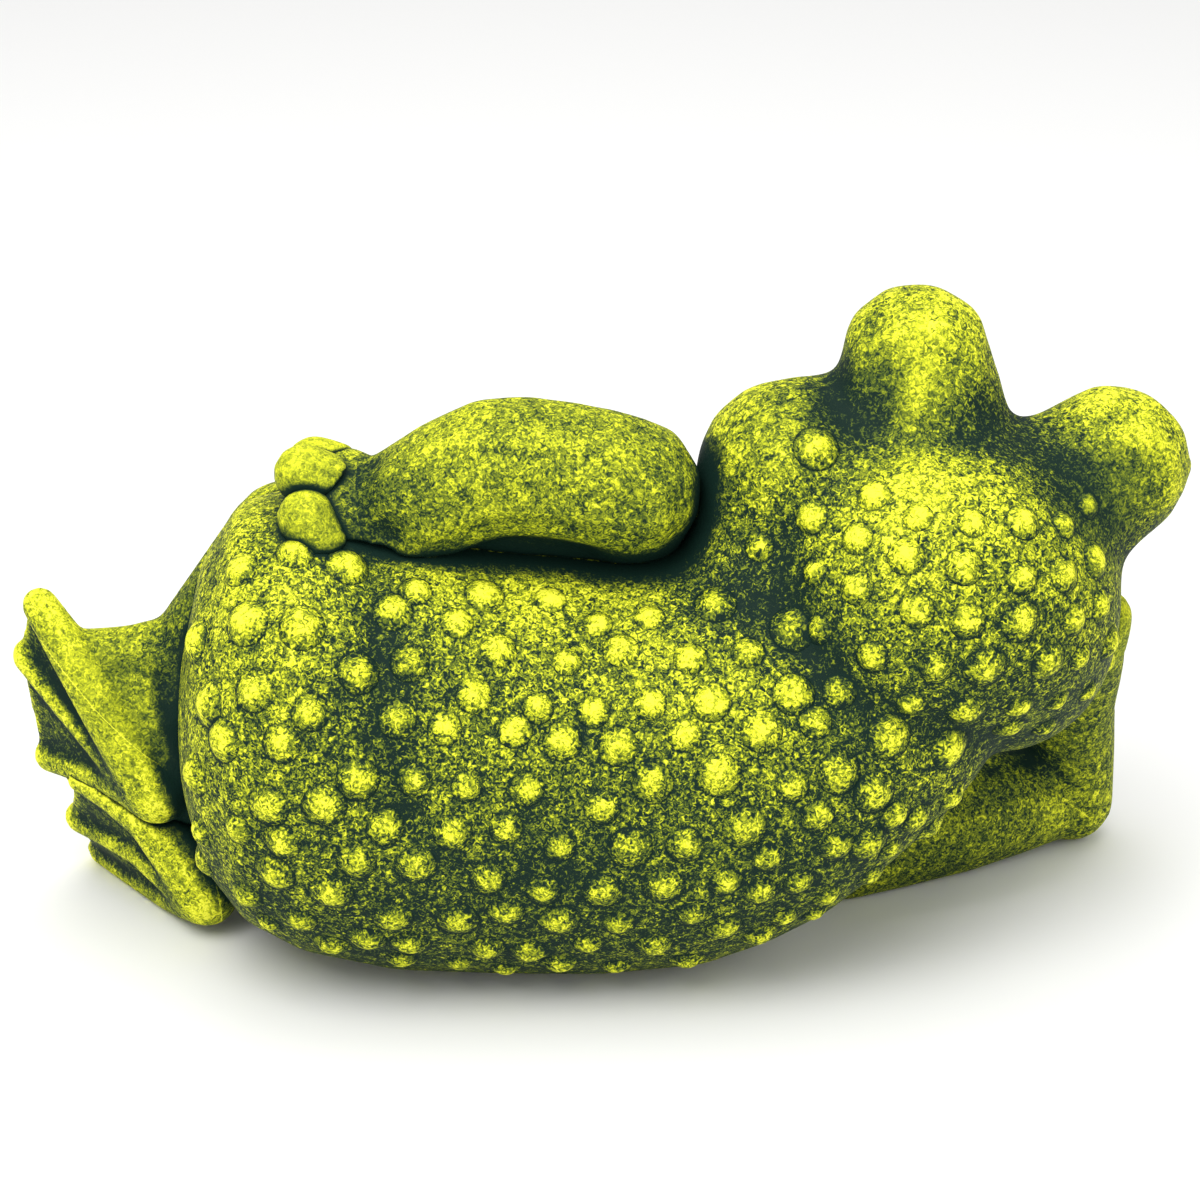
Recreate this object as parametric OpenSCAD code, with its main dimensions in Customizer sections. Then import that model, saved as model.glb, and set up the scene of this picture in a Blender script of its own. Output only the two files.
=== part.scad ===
// Reclining frog figurine: a hollow cast trunk and head with the limbs, eyes, lips
// and warts luted on as separate pieces. The frog lies on its right side with its back
// towards -Y and its head towards +X, and rests on the flat under the trunk at Z = 0.

/* [Body] */
// Length of the trunk, rump to chest
body_length = 214; // [170:1:260]
// Depth of the trunk, back to belly
body_depth = 108; // [85:1:130]
// Height of the trunk at the hip
body_height = 130; // [104:1:156]
// Wall of the hollow trunk and head
wall = 7; // [5:0.5:10]
// Diameter of the vent hole in the base
vent_d = 14; // [8:1:18]

/* [Head] */
// Width of the head across the cheeks
head_width = 112; // [94:1:134]
// Depth of the head, face to nape
head_depth = 92; // [76:1:110]
// Height of the head without the eye mounds
head_height = 88; // [73:1:106]
// Lean of the head towards the propping hand
head_tilt = 25; // [15:1:32]
// Diameter of an eye mound
eye_mound_d = 41; // [34:1:46]
// Diameter of an eyeball
eyeball_d = 27; // [22:1:31]
// Thickness of the rolled lips
lip_d = 7; // [5:0.5:9]

/* [Limbs] */
// Thickness of the upper arms
arm_d = 35; // [29:1:42]
// Thickness of the wrists
wrist_d = 27; // [22:1:30]
// Thickness of a finger
finger_d = 15; // [12:0.5:17]
// Thickness of the thighs
thigh_d = 44; // [36:1:52]
// Thickness of the shins
shin_d = 28; // [23:1:33]
// Thickness of a heel
heel_d = 17; // [14:0.5:20]
// Thickness of a toe at its tip
toe_d = 9; // [7:0.5:11]
// Thickness of the web between toes
web = 5; // [3:0.5:6]

/* [Warts] */
// Diameter of a wart on the back
wart_d = 8; // [6:0.5:10]
// Distance between warts along the body
wart_pitch = 15; // [13:0.5:19]

/* [Hidden] */
FINGERS = 4;

GREEN = "olivedrab";
BRIGHT = "yellowgreen";
STEPS = 2;      // spline steps between two stations of a limb
SEAT = 0.1;     // seam between neighbouring pieces

// Catmull-Rom spline through a list of vectors, at t from 0 to len(p) - 1
function spline(p, t) =
    let (i = min(floor(t), len(p) - 2), u = t - i,
         a = p[max(i - 1, 0)], b = p[i], c = p[i + 1], d = p[min(i + 2, len(p) - 1)])
    0.5 * (2 * b + (c - a) * u + (2 * a - 5 * b + 4 * c - d) * u * u
           + (3 * b - a - 3 * c + d) * u * u * u);

// A place given in percent of the body's length, depth and height
function body_at(x, y, z) = [x * body_length, y * body_depth, z * body_height] / 100;

// A limb station: a place in percent of the body, and a thickness in millimetres
function station(x, y, z, d) = concat(body_at(x, y, z), d / 2);

module ball(s, grow = 0) {
    translate([s.x, s.y, s.z]) sphere(r = s[3] + grow);
}

// A limb: hulls between the balls of a smooth path through its stations
module limb(stations, grow = 0, steps = STEPS) {
    last = len(stations) - 1;
    for (k = [0 : last * steps - 1])
        hull() {
            ball(spline(stations, k / steps), grow);
            ball(spline(stations, (k + 1) / steps), grow);
        }
}

// ---------- trunk ----------

// Ribs of the trunk in percent of the body: x, centre y, centre z, half depth, half height
RIBS = [
    [-51, 3, 49, 6, 5], [-50.2, 2, 49, 19, 16], [-47.7, 1, 51, 33, 32], [-43, 0, 52, 43, 43],
    [-36, 0, 50.5, 49, 47.5], [-25, 0, 46.5, 50, 47.5], [-12, 1, 43, 49, 45.3], [0, 1, 41.5, 48, 44],
    [12, 0, 43, 47, 43], [20, 0, 45.5, 45, 40.5], [27, 0, 47.5, 42, 36], [34, 0, 50.5, 37, 29],
    [41, 1, 53, 29, 21], [45.5, 2, 53.5, 20, 13], [48.2, 3, 53.5, 7, 4]
];
RING = 30;      // points around a rib

// A point on the trunk's skin: rib number i, turn in degrees from the back (-Y) upwards
function skin_at(i, turn, grow = 0) =
    let (r = spline(RIBS, i))
    body_at(r[0], r[1], r[2])
        + [0, -(r[3] * body_depth / 100 + grow) * cos(turn), (r[4] * body_height / 100 + grow) * sin(turn)];

// Hulls between neighbouring ribs
module ribbed(first, last, grow) {
    ring = [for (k = [0 : RING - 1]) k];
    for (i = [first : last - 1])
        hull() polyhedron(
            [for (end = [i, i + 1], k = ring) skin_at(end, 360 * k / RING, grow)],
            [ring, [for (k = ring) 2 * RING - 1 - k]]
        );
}

module above(z) {
    size = 4 * body_length;
    translate([-size / 2, -size / 2, z]) cube(size);
}

module trunk_skin(grow = 0) {
    intersection() {
        ribbed(0, len(RIBS) - 1, grow);
        above(0);
    }
}

module trunk_cavity() {
    intersection() {
        ribbed(3, len(RIBS) - 4, -wall);
        above(wall);
    }
}

module trunk() {
    color(GREEN) difference() {
        trunk_skin();
        trunk_cavity();
        head_cavity();
        translate([0, 0, -1]) cylinder(d = vent_d, h = wall + 2, $fn = 48);
    }
}

// ---------- head ----------

HEAD_AT = [40.6, 7.5, 79.8];
HEAD_ROWS = 20;
HEAD_COLS = 40;
BLEND = 14;     // the higher, the sharper the valleys between the head's lobes
SKULL_WIDTH = 0.84;     // the skull's share of the head's width, without its lobes
SKULL_HEIGHT = 0.94;

HEAD_CENTRE = body_at(HEAD_AT.x, HEAD_AT.y, HEAD_AT.z);

// Stations that follow the head, in percent of its size from its centre: one beside it,
// and one below it with its height in percent of the body
function beside_head(x, y, z, d) =
    concat(HEAD_CENTRE + [x * head_width, y * head_depth, z * head_height] / 100, d / 2);
function under_head(x, y, z, d) =
    let (p = beside_head(x, y, 0, d)) [p.x, p.y, z * body_height / 100, d / 2];

module head_frame() {
    translate(HEAD_CENTRE) rotate([0, head_tilt, 0]) children();
}

function head_at(x, y, z) = [x * head_width, y * head_depth, z * head_height] / 100;

EYE_SIDES = [-1, 1];
function eye_at(side) = head_at(side < 0 ? -25.5 : 26.5, 14, side < 0 ? 51 : 47);

// Lobes of the head, each a round bar from the centre to a place: the cheeks, the nape,
// the neck and the two eye mounds, with the bar's radius
LOBES = [
    [head_at(-41, 4, 8), head_height * 0.28],
    [head_at(-38, -8, -26), head_height * 0.25],
    [head_at(20, 6, -14), head_height * 0.34],
    [head_at(-8, -14, -16), head_height * 0.36],
    [eye_at(-1), eye_mound_d / 2],
    [eye_at(1), eye_mound_d / 2]
];

// How far a round bar from the origin to place p, of radius r, reaches in direction d
function bar_reach(p, r, d) =
    let (along = (p * d) / norm(p), across = sqrt(max(1 - along * along, 1e-9)))
    along <= 0 ? r
    : r * along / across < norm(p) ? r / across
    : norm(p) * along + sqrt(r * r - pow(norm(p) * across, 2));

function skull_reach(d) =
    1 / norm([2 * d.x / head_width / SKULL_WIDTH, 2 * d.y / head_depth, 2 * d.z / head_height / SKULL_HEIGHT]);

// The head's blended reach from its centre in direction d
function head_reach(d) =
    pow(pow(skull_reach(d), BLEND)
        + [for (l = LOBES) pow(bar_reach(l[0], l[1], d), BLEND)] * [for (l = LOBES) 1], 1 / BLEND);

// Direction at an angle from the nape (-Y), turned about the Y axis
function head_dir(from_nape, turn) =
    [sin(from_nape) * cos(turn), -cos(from_nape), sin(from_nape) * sin(turn)];

module head_form(grow = 0, rows = HEAD_ROWS, cols = HEAD_COLS) {
    inner = [for (i = [1 : rows - 1], j = [0 : cols - 1])
        let (d = head_dir(180 * i / rows, 360 * j / cols)) d * (head_reach(d) + grow)];
    nape = [0, -1, 0];
    face = [0, 1, 0];
    points = concat([nape * (head_reach(nape) + grow)], inner, [face * (head_reach(face) + grow)]);
    last = len(points) - 1;
    sides = [for (i = [0 : rows - 3], j = [0 : cols - 1])
        let (a = 1 + i * cols + j, b = 1 + i * cols + (j + 1) % cols)
        each [[a, b, a + cols], [b, b + cols, a + cols]]];
    caps = [for (j = [0 : cols - 1])
        let (k = (j + 1) % cols, base = last - cols)
        each [[0, 1 + k, 1 + j], [last, base + j, base + k]]];
    polyhedron(points, concat(sides, caps));
}

module head_skin(grow = 0) {
    head_frame() head_form(grow);
}

module head_cavity() {
    head_frame() difference() {
        head_form(-wall, HEAD_ROWS / 2, HEAD_COLS / 2);
        for (side = EYE_SIDES) eyeball_form(side, wall);
    }
}

module head() {
    color(GREEN) difference() {
        head_skin();
        head_cavity();
        trunk_skin(SEAT);
        for (side = EYE_SIDES) eyeball(side, SEAT);
        lip_roll(SEAT);
    }
}

module eyeball_form(side, grow = 0) {
    forward = [0, (eye_mound_d - eyeball_d) / 2 + 3, 0];
    translate(eye_at(side) + forward) sphere(d = eyeball_d + 2 * grow, $fn = 24);
}

module eyeball(side, grow = 0) {
    head_frame() eyeball_form(side, grow);
}

// The lips follow the face as an arc, from cheek to cheek
function lip_station(a) =
    let (d = [sin(a), cos(a), -0.28 + 0.16 * (1 - cos(a))], u = d / norm(d))
    concat(u * head_reach(u), lip_d / 2);

LIP_ENDS = 80;
LIP_STEP = 20;

module lip_roll(grow = 0) {
    head_frame() for (a = [-LIP_ENDS : LIP_STEP : LIP_ENDS - LIP_STEP])
        hull() {
            ball(lip_station(a), grow, $fn = 10);
            ball(lip_station(a + LIP_STEP), grow, $fn = 10);
        }
}

module lips() {
    color(GREEN) difference() {
        lip_roll();
        trunk_skin(SEAT);
        left_arm_form(SEAT);
    }
}

// ---------- warts ----------

WART_RISE = 0.29;       // height of a wart as a share of its diameter
WART_CLEAR = 0.56;      // room kept above the trunk for its own warts, as a share of a diameter
WART_SEED = 11;
BACK_SEED_STEP = 97;
HEAD_SEED_STEP = 53;
SIZE_JITTER = 0.16;     // how much one wart's diameter strays, as a share of it
SLIDE_JITTER = 0.22;    // how far a wart strays along its row, as a share of the pitch
TURN_JITTER = 3.5;      // how far a wart of the back strays from its row, in degrees
NAPE_JITTER = 2;        // how far a wart of the nape strays, in degrees

// A dome on the skin at a place, with its outward direction
module wart(place, out, d) {
    rise = WART_RISE * d;
    radius = (pow(d / 2, 2) + rise * rise) / (2 * rise);
    translate(place + out / norm(out) * (rise - radius)) sphere(r = radius, $fn = 7);
}

BACK_ROWS = [for (i = [0 : 9]) -47 + 12.2 * i];
BACK_FIRST = -0.46;
BACK_LAST = 0.42;

// t of the rib station at a share of the body's length
function rib_t(x, i = 0) = i >= len(RIBS) - 2 || RIBS[i + 1][0] > x
    ? i + (x - RIBS[i][0]) / (RIBS[i + 1][0] - RIBS[i][0]) : rib_t(x, i + 1);

module back_warts() {
    count = floor((BACK_LAST - BACK_FIRST) * body_length / wart_pitch);
    color(BRIGHT) difference() {
        for (r = [0 : len(BACK_ROWS) - 1], i = [0 : count]) {
            jitter = rands(-1, 1, 3, WART_SEED + BACK_SEED_STEP * r + i);
            steps = i + (r % 2) / 2 + SLIDE_JITTER * jitter[0];
            x = 100 * (BACK_FIRST + steps * wart_pitch / body_length);
            t = rib_t(x);
            turn = BACK_ROWS[r] + TURN_JITTER * jitter[1];
            if (x < 100 * BACK_LAST)
                wart(skin_at(t, turn), [0, -cos(turn), sin(turn)], wart_d * (1 + SIZE_JITTER * jitter[2]));
        }
        trunk_skin(SEAT);
        head_skin(SEAT);
        left_hand_form(SEAT);
        for (f = LEFT_FINGERS) finger_form(f, SEAT);
    }
}

// Rows of head warts, as angles above and below the middle of the nape
HEAD_ROW_TOP = 38;
HEAD_ROW_PITCH = 15;
HEAD_ROW_HEIGHTS = [for (i = [0 : 5]) HEAD_ROW_TOP - i * HEAD_ROW_PITCH];
HEAD_ROW_HALF = 68;     // half the sweep of a row across the nape
HEAD_ROW_LEAN = -16;    // rows lean less than the head does

// Direction in the head's frame, given the sweep across the nape and the height above it
function nape_dir(across, height) =
    let (x = sin(across) * cos(height), z = sin(height))
    [x * cos(HEAD_ROW_LEAN) + z * sin(HEAD_ROW_LEAN), -cos(across) * cos(height),
     z * cos(HEAD_ROW_LEAN) - x * sin(HEAD_ROW_LEAN)];

module head_warts() {
    color(BRIGHT) difference() {
        head_frame() for (r = [0 : len(HEAD_ROW_HEIGHTS) - 1]) {
            height = HEAD_ROW_HEIGHTS[r];
            step = wart_pitch / (head_height * 0.55 * cos(height)) * 180 / PI;
            for (across = [-HEAD_ROW_HALF + step * (r % 2) / 2 : step : HEAD_ROW_HALF]) {
                jitter = rands(-1, 1, 3, WART_SEED + HEAD_SEED_STEP * r + across);
                d = nape_dir(across + NAPE_JITTER * jitter[0], height + NAPE_JITTER * jitter[1]);
                wart(d * head_reach(d), d, wart_d * (1 + SIZE_JITTER * jitter[2]));
            }
        }
        head_skin(SEAT);
        trunk_skin(WART_CLEAR * wart_d);
        right_forearm_form(SEAT);
        right_hand_form(SEAT);
        left_arm_form(SEAT);
    }
}

// ---------- left arm, lying along the flank with the hand on the hip ----------

LIMB_FN = 12;

module left_arm_form(grow = 0) {
    limb([
        beside_head(-74, 9, 18, arm_d * 1.1), beside_head(-71, -11, 31.5, arm_d),
        station(-5, -3.5, 105, arm_d), station(-13, -3.5, 105.5, arm_d),
        station(-20, -3.5, 100, arm_d * 0.92), station(-26, -3.5, 96.5, wrist_d)
    ], grow, $fn = LIMB_FN);
    limb([beside_head(-79, 2, 19.5, arm_d * 0.9), station(-19, 5, 94, arm_d * 0.8)], grow, $fn = LIMB_FN);
}

module left_hand_form(grow = 0) {
    limb([
        station(-26, -3.5, 96.5, wrist_d), station(-29, -3, 96.5, wrist_d * 0.96),
        station(-30.5, 3, 97.5, wrist_d * 0.92)
    ], grow, 2, $fn = LIMB_FN);
}

// Fingers of the left hand, curled over the hip, from the one nearest the back
LEFT_FINGERS = [
    [[-33, -12.5, 93.5], [-34.4, -12, 98]], [[-32, -3, 102], [-35, -3.5, 104.3]],
    [[-31.5, 5.5, 101.5], [-34, 5.5, 103]], [[-31.5, 13.5, 98], [-34, 14.5, 99]]
];

module finger_form(ends, grow = 0, cheek = false) {
    limb([
        for (k = [0, 0.5, 1])
            let (p = ends[0] * (1 - k) + ends[1] * k, d = finger_d * (k == 1 ? 0.96 : 1))
            cheek ? beside_head(p.x, p.y, p.z, d) : station(p.x, p.y, p.z, d)
    ], grow, 2, $fn = LIMB_FN);
}

module left_arm() {
    color(GREEN) difference() {
        left_arm_form();
        trunk_skin(SEAT);
        head_skin(SEAT);
    }
}

module left_hand() {
    color(GREEN) difference() {
        left_hand_form();
        left_arm_form(SEAT);
        trunk_skin(SEAT);
    }
}

module left_finger(i) {
    color(BRIGHT) difference() {
        finger_form(LEFT_FINGERS[i - 1]);
        if (i > 1) finger_form(LEFT_FINGERS[i - 2], SEAT);
        left_hand_form(SEAT);
        left_arm_form(SEAT);
        trunk_skin(SEAT);
    }
}

// ---------- right arm, propping the head ----------

module right_upper_arm_form(grow = 0) {
    intersection() {
        limb([
            station(30, 30, 10, arm_d * 0.92), station(45, 44, 11.5, arm_d),
            under_head(32.3, 57.5, 11, arm_d * 0.82)
        ], grow, $fn = LIMB_FN);
        above(0);
    }
}

module right_forearm_form(grow = 0) {
    intersection() {
        limb([
            under_head(38.6, 58.6, 9.4, wrist_d * 0.94), under_head(37.4, 57, 22, wrist_d),
            under_head(36.7, 51.1, 34, wrist_d * 0.94), beside_head(38.2, 42.8, -51.4, wrist_d * 0.84)
        ], grow, $fn = LIMB_FN);
        above(0);
    }
}

module right_hand_form(grow = 0) {
    limb([
        beside_head(38.2, 42.8, -51.4, wrist_d * 0.84), beside_head(37.8, 36.4, -41.1, wrist_d * 0.84),
        beside_head(36.7, 32.3, -32.2, wrist_d * 0.74)
    ], grow, 2, $fn = LIMB_FN);
}

// Fingers of the right hand, spread up the cheek, in percent of the head
RIGHT_FINGERS = [
    [[39.7, 25.2, -35.2], [40.7, 21.7, -24.8]], [[38.0, 31.7, -27.8], [37.1, 30.5, -14.5]],
    [[34.2, 37.0, -29.2], [30.2, 38.2, -17.4]], [[32.1, 39.3, -36.6], [22.7, 44.0, -29.2]]
];

module right_upper_arm() {
    color(GREEN) difference() {
        right_upper_arm_form();
        trunk_skin(SEAT);
        head_skin(SEAT);
    }
}

module right_forearm() {
    color(GREEN) difference() {
        right_forearm_form();
        right_upper_arm_form(SEAT);
        trunk_skin(SEAT);
        head_skin(SEAT);
    }
}

module right_hand() {
    color(GREEN) difference() {
        right_hand_form();
        right_forearm_form(SEAT);
        head_skin(SEAT);
        lip_roll(SEAT);
    }
}

module right_finger(i) {
    color(BRIGHT) difference() {
        finger_form(RIGHT_FINGERS[i - 1], cheek = true);
        if (i > 1) finger_form(RIGHT_FINGERS[i - 2], SEAT, cheek = true);
        right_hand_form(SEAT);
        right_forearm_form(SEAT);
        head_skin(SEAT);
        lip_roll(SEAT);
    }
}

// ---------- legs, folded in front of the body with the feet stacked behind ----------

module left_thigh_form(grow = 0) {
    limb([
        station(-37, 20, 78.5, thigh_d * 0.93), station(-30, 45, 70, thigh_d),
        station(-20, 62, 56, thigh_d * 0.8)
    ], grow, $fn = LIMB_FN + 4);
}

module left_shin_form(grow = 0) {
    limb([
        station(-20, 62, 56, shin_d * 1.1), station(-34, 50, 54, shin_d * 1.1),
        station(-49.5, 20, 57, shin_d), station(-51, 14, 31, heel_d * 1.4)
    ], grow, $fn = LIMB_FN + 2);
}

// The instep, which fills the angle between the shin and the outer toe
module left_instep(grow = 0) {
    limb([
        station(-49.5, 20, 57, shin_d * 0.9), station(-57, 17.5, 56.5, shin_d * 0.68),
        station(-63.5, 16.5, 59, shin_d * 0.42)
    ], grow, $fn = LIMB_FN);
    limb([
        station(-57, 15, 54, shin_d * 0.6), station(-54, 12, 46, shin_d * 0.75),
        station(-52, 10, 37, heel_d)
    ], grow, $fn = LIMB_FN);
}

module left_hip_slope(grow = 0) {
    limb([station(-37, 20, 78.5, thigh_d * 0.93), station(-49.5, 20, 57, shin_d)], grow, $fn = LIMB_FN + 2);
}

module right_thigh_form(grow = 0) {
    intersection() {
        limb([
            station(-35, 15, 22, thigh_d * 0.93), station(-26, 45, 18, thigh_d),
            station(-14, 66, 15, thigh_d * 0.8)
        ], grow, $fn = LIMB_FN);
        above(0);
    }
}

module right_shin_form(grow = 0) {
    intersection() {
        limb([
            station(-14, 66, 15, shin_d * 1.1), station(-30, 52, 12, shin_d * 1.1),
            station(-46, 26, 14, shin_d), station(-49.5, 12, 10, heel_d)
        ], grow, $fn = LIMB_FN);
        above(0);
    }
}

// A foot: toes as tapered ridges that fan out from the heel, with a web between them
module foot_form(heel, toes, grow = 0) {
    for (toe = toes)
        limb([
            concat(body_at(heel.x, heel.y, heel.z), heel_d / 2),
            concat(body_at(toe[0].x, toe[0].y, toe[0].z), heel_d * toe[2]),
            concat(body_at(toe[1].x, toe[1].y, toe[1].z), toe_d / 2)
        ], grow, 2, $fn = 12);
    for (i = [0 : len(toes) - 2])
        hull() {
            ball(concat(body_at(heel.x, heel.y, heel.z), web / 2), grow, $fn = 8);
            for (toe = [toes[i], toes[i + 1]])
                for (k = [0, 1])
                    ball(concat(body_at(toe[k].x, toe[k].y + 1, toe[k].z), web / 2), grow, $fn = 8);
        }
}

LEFT_HEEL = [-54.5, 5.6, 32];
LEFT_TOES = [
    [[-60.7, 9.3, 50], [-68.6, 18.5, 68.5], 0.42], [[-61.8, 13.5, 40.6], [-70.7, 24, 55.3], 0.29],
    [[-61, 14, 32.3], [-69.2, 29.5, 30.6], 0.29]
];
RIGHT_HEEL = [-49.1, 5.6, 8.6];
RIGHT_TOES = [
    [[-55.9, 9.3, 25], [-64.8, 20.4, 29.6], 0.4], [[-57.2, 16.7, 13.8], [-66.1, 33, 14.8], 0.29],
    [[-54.5, 18.5, 3.4], [-64.1, 42.5, 3.2], 0.29]
];

module left_foot_form(grow = 0) {
    foot_form(LEFT_HEEL, LEFT_TOES, grow);
    left_instep(grow);
}

module right_foot_form(grow = 0) {
    intersection() {
        foot_form(RIGHT_HEEL, RIGHT_TOES, grow);
        above(0);
    }
}

module left_thigh() {
    color(GREEN) difference() {
        union() {
            left_thigh_form();
            left_hip_slope();
        }
        trunk_skin(SEAT);
        left_hand_form(SEAT);
        for (f = LEFT_FINGERS) finger_form(f, SEAT);
    }
}

module left_shin() {
    color(GREEN) difference() {
        left_shin_form();
        left_thigh_form(SEAT);
        left_hip_slope(SEAT);
        trunk_skin(SEAT);
    }
}

module left_foot() {
    color(GREEN) difference() {
        left_foot_form();
        left_shin_form(SEAT);
        left_hip_slope(SEAT);
        trunk_skin(SEAT);
    }
}

module right_thigh() {
    color(GREEN) difference() {
        right_thigh_form();
        left_thigh_form(SEAT);
        left_shin_form(SEAT);
        trunk_skin(SEAT);
    }
}

module right_shin() {
    color(GREEN) difference() {
        right_shin_form();
        right_thigh_form(SEAT);
        left_shin_form(SEAT);
        left_foot_form(SEAT);
        trunk_skin(SEAT);
    }
}

module right_foot() {
    color(GREEN) difference() {
        right_foot_form();
        right_shin_form(SEAT);
        left_shin_form(SEAT);
        left_foot_form(SEAT);
        trunk_skin(SEAT);
    }
}

// ---------- the pieces ----------

trunk();
head();
back_warts();
head_warts();
color("gold") eyeball(-1);  // left_eye
color("gold") eyeball(1);  // right_eye
lips();
left_arm();
left_hand();
right_upper_arm();
right_forearm();
right_hand();
for (i = [1:FINGERS]) {
    left_finger(i);
    right_finger(i);
}
left_thigh();
left_shin();
left_foot();
right_thigh();
right_shin();
right_foot();
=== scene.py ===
"""Reclining frog figurine: smooth cast skin, warts and dry-brushed paint over the CAD frame."""

from __future__ import annotations

import logging
import math
from dataclasses import dataclass, field
from enum import Enum
from typing import ClassVar, Iterable, Sequence

import bpy
import numpy as np
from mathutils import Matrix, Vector
from mathutils.bvhtree import BVHTree


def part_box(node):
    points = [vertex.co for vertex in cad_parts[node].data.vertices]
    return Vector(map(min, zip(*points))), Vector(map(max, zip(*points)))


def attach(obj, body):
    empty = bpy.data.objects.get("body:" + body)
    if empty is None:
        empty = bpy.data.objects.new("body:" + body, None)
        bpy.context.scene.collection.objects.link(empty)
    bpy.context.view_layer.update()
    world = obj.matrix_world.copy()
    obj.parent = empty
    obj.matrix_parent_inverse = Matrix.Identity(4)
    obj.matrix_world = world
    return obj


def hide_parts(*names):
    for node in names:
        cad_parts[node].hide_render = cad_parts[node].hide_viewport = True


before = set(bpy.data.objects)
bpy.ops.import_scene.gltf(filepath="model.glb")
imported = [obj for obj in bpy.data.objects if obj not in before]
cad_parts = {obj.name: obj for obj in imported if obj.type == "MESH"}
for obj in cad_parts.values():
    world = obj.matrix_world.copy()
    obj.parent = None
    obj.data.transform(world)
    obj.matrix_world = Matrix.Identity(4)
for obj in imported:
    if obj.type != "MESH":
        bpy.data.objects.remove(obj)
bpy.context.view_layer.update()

LOG = logging.getLogger("frog")
MM = 0.001
Object = bpy.types.Object
Place = tuple[float, float, float]
# Shares of a smoothing round: first in, then out again, so that a form keeps its size
SPONGE_IN, SPONGE_OUT = 0.62, -0.65


class Keep(Enum):
    """Which side of a cutting plane stays."""

    FRONT = "front"
    BACK = "back"


# ---------- working the clay ----------


def only(*objects: Object) -> None:
    """Selects these objects alone and makes the first one active."""
    if bpy.context.object and bpy.context.object.mode != "OBJECT":
        bpy.ops.object.mode_set(mode="OBJECT")
    bpy.ops.object.select_all(action="DESELECT")
    for one in objects:
        one.select_set(True)
    bpy.context.view_layer.objects.active = objects[0]


def copy_of(node: str) -> Object:
    """Copies a CAD node's mesh and merges its loose triangles.

    Args:
        node: Name of the CAD node.

    Returns:
        A new object with a closed mesh of its own.
    """
    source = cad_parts[node]
    made = bpy.data.objects.new(f"{node}.clay", source.data.copy())
    bpy.context.scene.collection.objects.link(made)
    only(made)
    bpy.ops.object.mode_set(mode="EDIT")
    bpy.ops.mesh.select_all(action="SELECT")
    bpy.ops.mesh.remove_doubles(threshold=2e-6)
    bpy.ops.object.mode_set(mode="OBJECT")
    made.data.materials.clear()
    return made


def joined(parts: Sequence[Object], name: str) -> Object:
    """Joins objects into the first one and names it."""
    only(*parts)
    bpy.ops.object.join()
    parts[0].name = parts[0].data.name = name
    return parts[0]


def apply(obj: Object, kind: str, **settings: object) -> None:
    """Adds a modifier with these settings and applies it.

    Args:
        obj: The object to change.
        kind: Blender's name of the modifier type.
        **settings: The modifier's properties.
    """
    only(obj)
    modifier = obj.modifiers.new(kind.lower(), kind)
    for key, value in settings.items():
        setattr(modifier, key, value)
    bpy.ops.object.modifier_apply(modifier=modifier.name)


def moulded(obj: Object, voxel_mm: float, passes: int, swell_mm: float = 0.3) -> Object:
    """Remeshes a piece as one even skin, sponges it smooth without shrinking it and refines it.

    Args:
        obj: The rough piece.
        voxel_mm: Grid size of the new skin, which is halved at the end.
        passes: Number of smoothing rounds, each one in and one out.
        swell_mm: How far the skin is pushed out first, which closes seams.

    Returns:
        The same object.
    """
    apply(obj, "DISPLACE", mid_level=0.0, strength=swell_mm * MM)
    apply(obj, "REMESH", mode="VOXEL", voxel_size=voxel_mm * MM)
    places, links = points(obj), edges(obj)
    degree = np.bincount(links.ravel(), minlength=len(places)).clip(1)[:, None]
    for _ in range(passes):
        for share in (SPONGE_IN, SPONGE_OUT):
            places += share * (neighbour_sum(places, links) / degree - places)
    move_points(obj, places)
    apply(obj, "SUBSURF", levels=1, render_levels=1)
    return obj


def convex(obj: Object) -> Object:
    """Wraps a piece in its convex hull, which fills what its neighbours cut away."""
    only(obj)
    bpy.ops.object.mode_set(mode="EDIT")
    bpy.ops.mesh.select_all(action="SELECT")
    bpy.ops.mesh.convex_hull()
    bpy.ops.object.mode_set(mode="OBJECT")
    return obj


def sliced(obj: Object, name: str, at: Place, normal: Place, keep: Keep) -> Object:
    """Copies a piece and cuts the copy by a plane, with the cut closed.

    Args:
        obj: The piece to copy.
        name: Name of the copy.
        at: A point on the plane, in millimetres.
        normal: The plane's normal, which points to the front.
        keep: The side that stays.

    Returns:
        The cut copy.
    """
    made = bpy.data.objects.new(name, obj.data.copy())
    bpy.context.scene.collection.objects.link(made)
    made.data.name = name
    only(made)
    bpy.ops.object.mode_set(mode="EDIT")
    bpy.ops.mesh.select_all(action="SELECT")
    bpy.ops.mesh.bisect(
        plane_co=Vector(at) * MM,
        plane_no=Vector(normal).normalized(),
        use_fill=True,
        clear_inner=keep is Keep.FRONT,
        clear_outer=keep is Keep.BACK,
    )
    bpy.ops.object.mode_set(mode="OBJECT")
    return made


def points(obj: Object) -> np.ndarray:
    """Reads a mesh's vertex places as an array of rows, in metres."""
    flat = np.zeros(len(obj.data.vertices) * 3, np.float32)
    obj.data.vertices.foreach_get("co", flat)
    return flat.reshape(-1, 3).astype(float)


def normals(obj: Object) -> np.ndarray:
    """Reads a mesh's vertex normals as an array of rows."""
    flat = np.zeros(len(obj.data.vertices) * 3, np.float32)
    obj.data.vertex_normals.foreach_get("vector", flat)
    return flat.reshape(-1, 3).astype(float)


def move_points(obj: Object, places: np.ndarray) -> None:
    """Writes vertex places back to a mesh."""
    obj.data.vertices.foreach_set("co", places.astype(np.float32).ravel())
    obj.data.update()


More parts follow.
